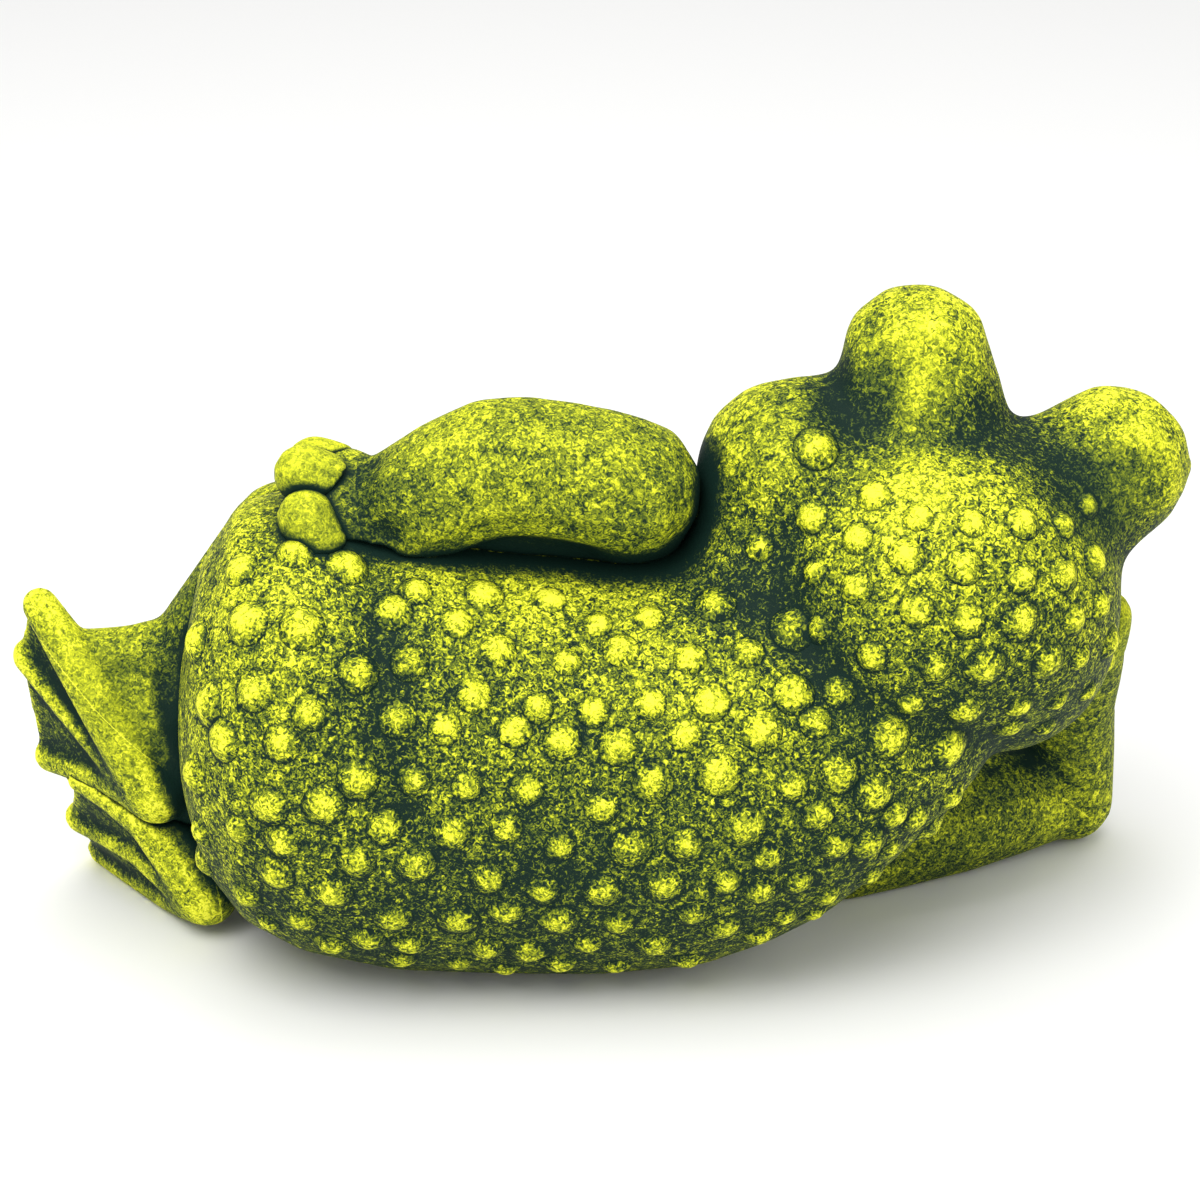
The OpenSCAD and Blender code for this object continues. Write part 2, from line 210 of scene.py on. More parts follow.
def edges(obj: Object) -> np.ndarray:
    """Reads a mesh's edges as rows of two vertex numbers."""
    flat = np.zeros(len(obj.data.edges) * 2, np.int32)
    obj.data.edges.foreach_get("vertices", flat)
    return flat.reshape(-1, 2)


def neighbour_sum(values: np.ndarray, links: np.ndarray) -> np.ndarray:
    """Adds up the neighbours' rows for each vertex."""
    total = np.empty_like(values)
    for column in range(values.shape[1]):
        total[:, column] = np.bincount(links[:, 0], values[links[:, 1], column], len(values))
        total[:, column] += np.bincount(links[:, 1], values[links[:, 0], column], len(values))
    return total


def spread(values: np.ndarray, links: np.ndarray, passes: int) -> np.ndarray:
    """Averages each vertex's value with its neighbours', several times.

    Args:
        values: One value or row per vertex.
        links: Edges as rows of two vertex numbers.
        passes: Number of rounds.

    Returns:
        The averaged values.
    """
    count = len(values)
    degree = np.bincount(links.ravel(), minlength=count).clip(1)[:, None]
    out = values.reshape(count, -1).astype(float)
    for _ in range(passes):
        out = 0.5 * out + 0.5 * neighbour_sum(out, links) / degree
    return out.reshape(values.shape)


def groove(obj: Object, path: Sequence[Place], depth_mm: float, width_mm: float) -> None:
    """Presses a soft groove into a skin along a path, or raises a ridge if the depth is negative.

    Args:
        obj: The skin to press.
        path: Places along the groove, in millimetres.
        depth_mm: Depth at the middle of the groove.
        width_mm: Half width at which it has faded to a third.
    """
    places, out = points(obj), normals(obj)
    nearest = np.full(len(places), 1e9)
    route = [np.array(p) * MM for p in path]
    for start, end in zip(route, route[1:]):
        along = end - start
        share = ((places - start) @ along / (along @ along)).clip(0, 1)
        gap = np.linalg.norm(places - start - share[:, None] * along, axis=1)
        nearest = np.minimum(nearest, gap)
    push = depth_mm * MM * np.exp(-((nearest / (width_mm * MM)) ** 2))
    move_points(obj, places - out * push[:, None])


def level_base(obj: Object) -> None:
    """Flattens whatever has sunk below the resting plane onto it."""
    places = points(obj)
    places[:, 2] = places[:, 2].clip(0)
    move_points(obj, places)


def soften(obj: Object, degrees: float = 45.0) -> None:
    """Shades a piece smooth, with edges sharper than this left crisp."""
    only(obj)
    bpy.ops.object.shade_smooth_by_angle(angle=math.radians(degrees))


def tree_of(pieces: Sequence[Object]) -> BVHTree:
    """Builds one tree of all faces of several pieces.

    Args:
        pieces: The pieces, in order.

    Returns:
        The tree, for rays and nearest places.
    """
    places, faces, start = [], [], 0
    for piece in pieces:
        co = points(piece)
        places.extend(map(tuple, co))
        faces.extend([tuple(start + i for i in f.vertices) for f in piece.data.polygons])
        start += len(co)
    return BVHTree.FromPolygons(places, faces)


# ---------- paint ----------


@dataclass(frozen=True)
class Paint:
    """A coat of dry-brushed paint.

    Attributes:
        cover: How much yellow the brush leaves on flat skin, 0 to 1.
        contrast: How strongly the grain breaks up the coat.
        patch: How uneven the coat is from place to place.
        relief: How much more the brush leaves on high points.
        shade: How much the creases keep of the dark base coat, as painted shade.
        grain_mm: Size of the grain.
    """

    cover: float
    contrast: float
    patch: float
    relief: float
    shade: float
    grain_mm: float


SKIN = Paint(0.28, 0.96, 0.5, 0.45, 1.0, 1.05)
WART = Paint(0.24, 0.9, 0.2, 0.66, 0.6, 1.1)
LIMB = Paint(0.35, 0.68, 0.40, 0.35, 1.0, 1.05)
FINGER = Paint(0.53, 0.42, 0.15, 0.25, 1.3, 1.0)
FOOT = Paint(0.24, 0.70, 0.20, 1.25, 1.2, 1.0)
LIP = Paint(0.56, 0.60, 0.20, 0.40, 0.9, 0.95)
EYE = Paint(0.82, 0.30, 0.10, 0.20, 0.6, 0.80)

# The coat from bare base coat to thickest yellow, as the eye sees it
COAT: tuple[tuple[float, tuple[int, int, int]], ...] = (
    (0.00, (20, 40, 33)),
    (0.12, (34, 53, 34)),
    (0.30, (76, 93, 34)),
    (0.50, (126, 138, 34)),
    (0.70, (184, 192, 40)),
    (0.88, (230, 232, 46)),
    (1.00, (248, 248, 72)),
)
# The dark base coat, which also stands as painted shade where the creases keep it
BASE_COAT_AND_SHADE = (18, 42, 35)

# Closeness at which a crease begins to keep the base coat as painted shade, and how fast it then darkens
CREASE_FROM, CREASE_GAIN = 0.06, 1.7
# The paint's gloss, and its grain's strength and height as relief
GLOSS, GRAIN_STRENGTH, GRAIN_HIGH_MM = 0.1, 0.55, 0.25
# How much more yellow a surface that faces up takes than one that faces the side, partly from brushing
# from above and partly painted top light
BRUSH_DOWN_AND_TOP_LIGHT = 0.16
# Places where the brush has left more or less yellow, and places of painted shade in valleys, folds and
# cracks and darker towards the bottom: place and reach in millimetres, amount
BRUSH_TOUCHES_AND_SHADE: tuple[tuple[Place, float, float], ...] = (
    # the tops of the head and the two eye mounds
    ((74, -20, 136), 22, 0.20), ((74, 0, 166), 12, 0.20), ((134, 0, 140), 10, 0.02),
    ((136, 7, 141), 8, 0.03), ((115, 1, 136), 13, -0.34), ((61, 4, 162), 11, -0.24),
    # the sides of the mounds, and painted shade in the hollow between them
    ((58, 2, 150), 14, -0.34), ((96, -2, 146), 12, -0.34),
    ((112, -8, 118), 14, -0.12), ((124, -6, 128), 12, -0.16),
    # painted shade on the lobe above the shoulder, the nape below and the cheek
    ((42, -3, 147), 14, -0.10), ((98, -36, 100), 20, -0.16), ((122, -11, 76), 18, -0.20),
    # painted shade in the valley of the neck
    ((30, -18, 112), 13, -0.28), ((44, -26, 104), 13, -0.28), ((60, -34, 90), 14, -0.22),
    # the flank under the arm, painted shade in the fold behind the haunch, and the low back darker
    # towards the bottom
    ((-20, -20, 111), 24, 0.16), ((-53, -40, 100), 12, -0.24), ((-55, -47, 80), 14, -0.18),
    ((-5, -50, 55), 30, -0.08), ((24, -50, 45), 30, -0.10), ((-45, -52, 35), 30, -0.10),
    ((65, -42, 55), 24, -0.17), ((0, -45, 15), 60, -0.06),
    # the haunch, the shoulder and the back of the waist
    ((-90, -30, 110), 16, 0.08), ((24, -43, 86), 24, 0.14), ((-90, -40, 40), 26, -0.08),
    # painted shade in the crack between trunk and leg
    ((-106, 14, 98), 8, -0.16), ((-111, 10, 83), 7, -0.22),
    ((-112, 4, 64), 7, -0.22), ((-111, 2, 47), 7, -0.22),
    # the ridges of the outer toes
    ((-145, 15, 89), 8, 0.22), ((-135, 8, 76), 9, 0.20),
    ((-123, 2, 59), 9, 0.20), ((-116, -1, 47), 7, 0.20),
    ((-122, 6, 22), 12, 0.12), ((-106, -2, 14), 8, 0.20),
    # the arm on the flank: dark along the top, bright above the elbow and at its middle
    ((-20, 2, 154), 12, -0.10), ((4, 2, 153), 12, -0.10),
    ((10, -17, 137), 9, 0.12), ((-22, -19, 130), 9, 0.06),
    # the wrist, and the crook and sleeve of the propping arm, with painted shade in the wrist's hollow,
    # at the top of the haunch fold and in the crook
    ((-57, -14, 134), 12, -0.26), ((-60, -21, 118), 7, 0.26),
    ((-50, -18, 117), 7, 0.16), ((20, -11, 138), 9, -0.14),
    ((-56, -24, 114), 10, -0.20), ((9, -14, 140), 16, -0.06),
    ((120, 42, 15), 20, 0.10), ((108, 45, 30), 13, -0.40),
)

# Places where the brush ran smoothly, so that the grain shows less: place, reach, amount
CALM: tuple[tuple[Place, float, float], ...] = (
    ((74, 0, 158), 22, 0.45), ((134, 0, 134), 20, 0.40),
    ((40, 0, 146), 16, 0.25), ((124, -6, 124), 14, 0.25),
    ((-135, 8, 76), 16, 0.30), ((-123, 2, 59), 14, 0.30),
)


def seen(colour: tuple[int, int, int]) -> tuple[float, float, float, float]:
    """Turns a colour as seen, 0 to 255, into light values."""
    values = [c / 255 for c in colour]
    red, green, blue = [v / 12.92 if v < 0.04045 else ((v + 0.055) / 1.055) ** 2.4 for v in values]
    return red, green, blue, 1.0


class BrushGroup:
    """The shader group that all paints share: grain, patches, high points, painted shade in creases, and
    brush marks with painted light and shade.
    """

    NAME = "dry brush"
    INPUTS = {
        "Cover": 0.5,
        "Contrast": 0.8,
        "Patch": 0.3,
        "Relief Gain": 0.5,
        "Crease Gain": 1.0,
        "Grain": 900.0,
        "Relief": 0.0,
        "Crease": 0.0,
        "Touch_Light_And_Shade": 0.0,
        "Calm": 0.0,
    }

    def __init__(self) -> None:
        """Builds the group once."""
        self.tree = bpy.data.node_groups.new(self.NAME, "ShaderNodeTree")
        face = self.tree.interface
        for name, value in self.INPUTS.items():
            socket = face.new_socket(name, in_out="INPUT", socket_type="NodeSocketFloat")
            socket.default_value = value
        face.new_socket("Color", in_out="OUTPUT", socket_type="NodeSocketColor")
        face.new_socket("Roughness", in_out="OUTPUT", socket_type="NodeSocketFloat")
        face.new_socket("Height", in_out="OUTPUT", socket_type="NodeSocketFloat")
        self.given = self.tree.nodes.new("NodeGroupInput")
        self.result = self.tree.nodes.new("NodeGroupOutput")
        self.place = self.tree.nodes.new("ShaderNodeTexCoord").outputs["Object"]
        self._wire()

    def _math(self, operation: str, *values: object) -> bpy.types.NodeSocket:
        """Adds a math node.

        Args:
            operation: Blender's name of the operation.
            *values: Its inputs, each a number or a socket.

        Returns:
            The node's output.
        """
        node = self.tree.nodes.new("ShaderNodeMath")
        node.operation = operation
        for socket, value in zip(node.inputs, values):
            if isinstance(value, (int, float)):
                socket.default_value = value
            else:
                self.tree.links.new(value, socket)
        return node.outputs[0]

    def _noise(self, scale: object, detail: float, rough: float, warp: float) -> bpy.types.NodeSocket:
        """Adds a noise texture on object coordinates.

        Args:
            scale: Its scale per metre, a number or a socket.
            detail: Its detail.
            rough: Its roughness.
            warp: Its distortion.

        Returns:
            The noise value.
        """
        node = self.tree.nodes.new("ShaderNodeTexNoise")
        self.tree.links.new(self.place, node.inputs["Vector"])
        if isinstance(scale, (int, float)):
            node.inputs["Scale"].default_value = scale
        else:
            self.tree.links.new(scale, node.inputs["Scale"])
        node.inputs["Detail"].default_value = detail
        node.inputs["Roughness"].default_value = rough
        node.inputs["Distortion"].default_value = warp
        return node.outputs["Fac"]

    def _wire(self) -> None:
        """Connects grain, patches, relief, brush marks with their painted light and shade, and the
        painted shade of creases to the coat's colours.
        """
        take = self.given.outputs
        grain = self._noise(take["Grain"], 0.9, 0.6, 1.3)
        coarse = self._noise(self._math("MULTIPLY", take["Grain"], 0.38), 1.0, 0.5, 0.8)
        patch = self._noise(46.0, 2.0, 0.5, 0.3)
        fine = self._math("MULTIPLY", self._math("SUBTRACT", grain, 0.5), 2.3)
        broad = self._math("MULTIPLY", self._math("SUBTRACT", coarse, 0.5), 1.0)
        strength = self._math("MULTIPLY", take["Contrast"], self._math("SUBTRACT", 1.0, take["Calm"]))
        speckle = self._math("MULTIPLY", self._math("ADD", fine, broad), strength)
        cloud = self._math("MULTIPLY", self._math("SUBTRACT", patch, 0.5), take["Patch"])
        high = self._math("MULTIPLY", take["Relief"], take["Relief Gain"])
        low = self._math("MULTIPLY", take["Crease"], take["Crease Gain"])
        # Cover plus the brush marks, which carry painted top light and painted shade
        laid_light_and_shade = self._math("ADD", take["Cover"], take["Touch_Light_And_Shade"])
        level = self._math("ADD", laid_light_and_shade, self._math("ADD", cloud, high))
        level = self._math("SUBTRACT", level, low)
        fade = self._math("MAXIMUM", self._math("MULTIPLY_ADD", low, -0.8, 1.0), 0.2)
        coat = self._math("ADD", level, self._math("MULTIPLY", speckle, fade))
        ramp = self.tree.nodes.new("ShaderNodeValToRGB")
        while len(ramp.color_ramp.elements) < len(COAT):
            ramp.color_ramp.elements.new(0.5)
        for stop, (at, colour) in zip(ramp.color_ramp.elements, COAT):
            stop.position = at
            stop.color = seen(colour)
        self.tree.links.new(coat, ramp.inputs["Fac"])
        # Creases show the bare base coat, partly left there by the dry brush and partly painted shade
        bare_and_shaded = self._math("MULTIPLY", low, self._math("MULTIPLY_ADD", coat, -1.0, 1.0))
        mix = self.tree.nodes.new("ShaderNodeMix")
        mix.data_type = "RGBA"
        mix.clamp_factor = True
        self.tree.links.new(self._math("MULTIPLY", bare_and_shaded, 1.6), mix.inputs[0])
        self.tree.links.new(ramp.outputs["Color"], mix.inputs[6])
        mix.inputs[7].default_value = seen(BASE_COAT_AND_SHADE)
        self.tree.links.new(mix.outputs[2], self.result.inputs["Color"])
        rough = self._math("MULTIPLY_ADD", grain, -0.18, 0.74)
        self.tree.links.new(rough, self.result.inputs["Roughness"])
        height = self._math("MULTIPLY_ADD", grain, 0.8, self._math("MULTIPLY", coat, 0.2))
        self.tree.links.new(height, self.result.inputs["Height"])


class PaintShop:
    """Makes one material per paint and dresses pieces in it."""

    def __init__(self) -> None:
        """Builds the shared group."""
        self.group = BrushGroup()
        self.made: dict[str, bpy.types.Material] = {}

    def material(self, name: str, paint: Paint) -> bpy.types.Material:
        """Makes a material of a paint, or returns the one made before.

        Args:
            name: The material slot's name.
            paint: The paint.

        Returns:
            The material.
        """
        if name in self.made:
            return self.made[name]
        made = bpy.data.materials.new(name)
        made.use_nodes = True
        tree = made.node_tree
        shader = tree.nodes["Principled BSDF"]
        shader.inputs["Specular IOR Level"].default_value = GLOSS
        brush = tree.nodes.new("ShaderNodeGroup")
        brush.node_tree = self.group.tree
        for key, value in (
            ("Cover", paint.cover),
            ("Contrast", paint.contrast),
            ("Patch", paint.patch),
            ("Relief Gain", paint.relief),
            ("Crease Gain", paint.shade),
            ("Grain", 1.0 / (paint.grain_mm * MM)),
        ):
            brush.inputs[key].default_value = value
        for key in ("relief", "crease", "touch_light_and_shade", "calm"):
            reader = tree.nodes.new("ShaderNodeAttribute")
            reader.attribute_name = key
            tree.links.new(reader.outputs["Fac"], brush.inputs[key.title()])
        bump = tree.nodes.new("ShaderNodeBump")
        bump.inputs["Strength"].default_value = GRAIN_STRENGTH
        bump.inputs["Distance"].default_value = GRAIN_HIGH_MM * MM
        tree.links.new(brush.outputs["Height"], bump.inputs["Height"])
        tree.links.new(bump.outputs["Normal"], shader.inputs["Normal"])
        tree.links.new(brush.outputs["Color"], shader.inputs["Base Color"])
        tree.links.new(brush.outputs["Roughness"], shader.inputs["Roughness"])
        self.made[name] = made
        return made

    def dress(self, obj: Object, slot: str, paint: Paint, *nodes: str) -> Object:
        """Paints a piece and ties it to the frame.

        Args:
            obj: The finished piece.
            slot: The record's material slot.
            paint: Its paint.
            *nodes: The CAD nodes that the piece stands for.

        Returns:
            The same object.
        """
        obj.data.materials.clear()
        obj.data.materials.append(self.material(slot, paint))
        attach(obj, "root")
        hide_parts(*nodes)
        LOG.info("%s: %d faces, slot %s", obj.name, len(obj.data.polygons), slot)
        return obj


class Shading:
    """Works out where skin is high, closed in and so painted in shade, touched up by the brush or painted
    lighter or darker, or calm, and stores it on each piece.
    """

    # A ray starts this far off the skin, and a neighbour's shade falls off by this power
    LIFT_MM, FALL_OFF = 0.35, 0.7

    def __init__(
        self,
        pieces: Sequence[Object],
        marks: Sequence[tuple[Place, float, float]],
        reach_mm: float = 15.0,
        rays: int = 20,
    ) -> None:
        """Builds one tree of all pieces.

        Args:
            pieces: Every piece of the figure.
            marks: Further brush touches, each a place, a reach and an amount.
            reach_mm: How far away a neighbour still casts painted shade on the skin.
            rays: Number of directions that are tried at each vertex.
        """
        # The brush marks with their painted shade, and the dark pupils
        self.touches_and_shade = (*BRUSH_TOUCHES_AND_SHADE, *marks)
        self.reach = reach_mm * MM
        self.tree = tree_of(pieces)
        turn = math.pi * (3 - math.sqrt(5))
        self.fan = []
        for i in range(rays):
            rise = math.sqrt(1 - (i + 0.5) / rays)
            flat = math.sqrt(1 - rise * rise)
            self.fan.append((flat * math.cos(i * turn), flat * math.sin(i * turn), rise))

    def _crease(self, obj: Object) -> np.ndarray:
        """Measures how closed in each vertex is.

        Args:
            obj: The piece.

        Returns:
            One value per vertex, 0 in the open and 1 at the bottom of a crack.
        """
        places, out = points(obj), normals(obj)
        found = np.zeros(len(places))
        for i, (place, normal) in enumerate(zip(places, out)):
            up = Vector(normal)
            side = up.orthogonal().normalized()
            other = up.cross(side)
            start = Vector(place) + up * (self.LIFT_MM * MM)
            total = 0.0
            for x, y, z in self.fan:
                ray = side * x + other * y + up * z
                hit = self.tree.ray_cast(start, ray, self.reach)
                if hit[3] is not None:
                    total += (1.0 - hit[3] / self.reach) ** self.FALL_OFF
            found[i] = total / len(self.fan)
        return found

    @staticmethod
    def _relief(obj: Object, passes: int, scale_mm: float) -> np.ndarray:
        """Measures how far each vertex stands above its smoothed surroundings.

        Args:
            obj: The piece.
            passes: How wide the surroundings are, in smoothing rounds.
            scale_mm: The height that counts as 1.

        Returns:
            One value per vertex, about -1 to 1.
        """
        places = points(obj)
        calm = spread(places, edges(obj), passes)
        height = ((places - calm) * normals(obj)).sum(1)
        return (height / (scale_mm * MM)).clip(-1, 1)

    @staticmethod
    def _around(obj: Object, marks: Sequence[tuple[Place, float, float]]) -> np.ndarray:
        """Adds up soft round marks at each vertex.

        Args:
            obj: The piece.
            marks: Each mark's place, reach and amount.

        Returns:
            One value per vertex.
        """
        places = points(obj)
        found = np.zeros(len(places))
        for place, reach_mm, amount in marks:
            gap = np.linalg.norm(places - np.array(place) * MM, axis=1) / (reach_mm * MM)
            found += amount * np.exp(-(gap**2))
        return found

    def store(self, obj: Object, passes: int = 60, scale_mm: float = 1.2) -> None:
        """Writes the attributes of relief, creases with their painted shade, brush marks with their
        painted light and shade, and calm on a piece.

        A piece that already has its own relief, such as the warts, keeps it.

        Args:
            obj: The piece.
            passes: How wide the surroundings are, in smoothing rounds.
            scale_mm: The height that counts as 1.
        """
        found = {
            # Brush marks plus painted top light on upward faces and painted shade in valleys, folds and
            # cracks
            "touch_light_and_shade": BRUSH_DOWN_AND_TOP_LIGHT * normals(obj)[:, 2] + self._around(obj, self.touches_and_shade),
            "calm": self._around(obj, CALM).clip(0, 1),
        }
        if "relief" not in obj.data.attributes:
            found["relief"] = self._relief(obj, passes, scale_mm)
        # How closed in each vertex is, which darkens creases and the places between parts as painted
        # shade
        close = spread(self._crease(obj), edges(obj), 1)
        found["crease"] = ((close - CREASE_FROM) * CREASE_GAIN).clip(0, 1)
        for name, values in found.items():
            layer = obj.data.attributes.new(name, "FLOAT", "POINT")
            layer.data.foreach_set("value", values.astype(np.float32))


# ---------- the frog ----------


@dataclass
class Body:
    """The trunk and head, cast as one skin and parted at the neck.

    Attributes:
        voxel_mm: Grid size of the skin.
        passes: Smoothing passes all over.
        neck_passes: Further passes in the valley of the neck.
        neck_at: A point in the neck's plane.
        neck_normal: The plane's normal, towards the head.
        neck_reach_mm: How far from the plane the neck is softened.
    """

    voxel_mm: float = 2.4
    passes: int = 26
    neck_passes: int = 24
    neck_at: Place = (48.0, 0.0, 92.0)
    neck_normal: Place = (0.62, 0.0, 0.785)
    neck_reach_mm: float = 14.0
    # The fold that parts the haunch from the flank, from the top down, and its depth and width
    HAUNCH_FOLD: ClassVar[tuple[Place, ...]] = (
        (-56, -16, 116), (-55, -32, 108), (-53, -44, 90), (-50, -53, 66),
    )
    FOLD_DEEP_MM: ClassVar[float] = 2.6
    FOLD_WIDE_MM: ClassVar[float] = 7.5
    # The plug that closes the vent hole under the skin
    PLUG_SIDES: ClassVar[int] = 32
    PLUG_RADIUS_MM: ClassVar[float] = 12
    PLUG_HIGH_MM: ClassVar[float] = 6
    PLUG_AT_MM: ClassVar[float] = 4
    head: Object = field(init=False)
    trunk: Object = field(init=False)

    def build(self) -> None:
        """Casts the skin, softens the neck, presses the folds and parts the two pieces."""
        bpy.ops.object.select_all(action="DESELECT")
        bpy.ops.mesh.primitive_cylinder_add(
            vertices=self.PLUG_SIDES,
            radius=self.PLUG_RADIUS_MM * MM,
            depth=self.PLUG_HIGH_MM * MM,
            location=(0, 0, self.PLUG_AT_MM * MM),
        )
        plug = bpy.context.object
        only(plug)
        bpy.ops.object.transform_apply(location=True, rotation=True, scale=True)
        skin = joined([copy_of("trunk"), copy_of("head"), plug], "body.clay")
        moulded(skin, self.voxel_mm, self.passes)
        self._soften_neck(skin)
        self._press_folds(skin)
        level_base(skin)
        self.trunk = sliced(skin, "trunk", self.neck_at, self.neck_normal, Keep.BACK)
        self.head = sliced(skin, "head", self.neck_at, self.neck_normal, Keep.FRONT)
        bpy.data.objects.remove(skin)

    def _soften_neck(self, skin: Object) -> None:
        """Smooths the valley between trunk and head."""
        places = points(skin)
        normal = np.array(Vector(self.neck_normal).normalized())
        gap = np.abs((places - np.array(self.neck_at) * MM) @ normal)
        weight = np.exp(-((gap / (self.neck_reach_mm * MM)) ** 2))
        group = skin.vertex_groups.new(name="neck")
        for i, w in enumerate(weight):
            if w > 0.05:
                group.add([i], float(w), "REPLACE")
        apply(skin, "SMOOTH", factor=0.5, iterations=self.neck_passes, vertex_group="neck")

    def _press_folds(self, skin: Object) -> None:
        """Presses the soft fold that parts the haunch from the flank."""
        groove(skin, self.HAUNCH_FOLD, self.FOLD_DEEP_MM, self.FOLD_WIDE_MM)


class WartMaker:
    """Raises domes on a skin where a CAD node has them."""

    SEGMENTS, RINGS = 18, 9
    FLARE, RISE, PEAK = 1.42, 0.30, 1.25
    SINK_MM, SEAT_MM = 0.5, 0.05
    WIDEST_MM = 8.8

    def __init__(self, skins: Sequence[Object]) -> None:
        """Builds a tree of the skins that the warts sit on."""
        self.tree = tree_of(skins)

    @staticmethod
    def spots(node: str) -> list[tuple[Vector, float]]:
        """Finds each dome of a CAD node.

        Args:
            node: Name of the CAD node.

        Returns:
            Each dome's centre and diameter.
        """
        clay = copy_of(node)
        only(clay)
        bpy.ops.object.mode_set(mode="EDIT")
        bpy.ops.mesh.select_all(action="SELECT")
        bpy.ops.mesh.separate(type="LOOSE")
        bpy.ops.object.mode_set(mode="OBJECT")
        found = []
        for part in list(bpy.context.selected_objects):
            co = points(part)
            span = np.ptp(co, axis=0)
            found.append((Vector(co.mean(0)), float(np.sort(span)[-2:].mean())))
            bpy.data.objects.remove(part)
        return found

    def _pattern(self) -> Object:
        """Makes the round that every dome is a copy of, with each point's share of the rise."""
        bpy.ops.object.select_all(action="DESELECT")
        bpy.ops.mesh.primitive_uv_sphere_add(segments=self.SEGMENTS, ring_count=self.RINGS, radius=1.0)
        pattern = bpy.context.object
        shape = points(pattern)
        radius = np.linalg.norm(shape[:, :2], axis=1).clip(0, 1)
        share = np.cos(radius * math.pi / 2) ** self.PEAK
        share[shape[:, 2] < -1e-6] = 0.0
        layer = pattern.data.attributes.new("relief", "FLOAT", "POINT")
        layer.data.foreach_set("value", share.astype(np.float32))
        return pattern

    def _dome(self, pattern: Object, centre: Vector, across: float) -> Object:
        """Lays one copy of the pattern over the skin.

        Args:
            pattern: The round to copy.
            centre: A place near the dome.
            across: The dome's diameter.

        Returns:
            The dome.
        """
        made = bpy.data.objects.new("dome", pattern.data.copy())
        bpy.context.scene.collection.objects.link(made)
        foot, normal, _, _ = self.tree.find_nearest(centre)
        side = normal.orthogonal().normalized()
        other = normal.cross(side)
        reach = across / 2 * self.FLARE
        share = np.zeros(len(made.data.vertices), np.float32)
        made.data.attributes["relief"].data.foreach_get("value", share)
        places = points(made)
        for i, (x, y, z) in enumerate(places):
            base, out, _, _ = self.tree.find_nearest(foot + (side * x + other * y) * reach)
            lift = float(share[i]) * across * self.RISE if z >= -1e-6 else -self.SINK_MM * MM
            places[i] = base + out * (lift - self.SEAT_MM * MM)
        move_points(made, places)
        return made

    def build(self, node: str, smallest_mm: float = 4.0) -> Object:
        """Makes all the domes of a CAD node as one piece.

        Args:
            node: Name of the CAD node.
            smallest_mm: Domes narrower than this were cut by a neighbour and are left out.

        Returns:
            The piece.
        """
        pattern = self._pattern()
        domes = [
            self._dome(pattern, centre, min(across, self.WIDEST_MM * MM))
            for centre, across in self.spots(node)
            if across >= smallest_mm * MM
        ]
        bpy.data.objects.remove(pattern)
        return joined(domes, node)


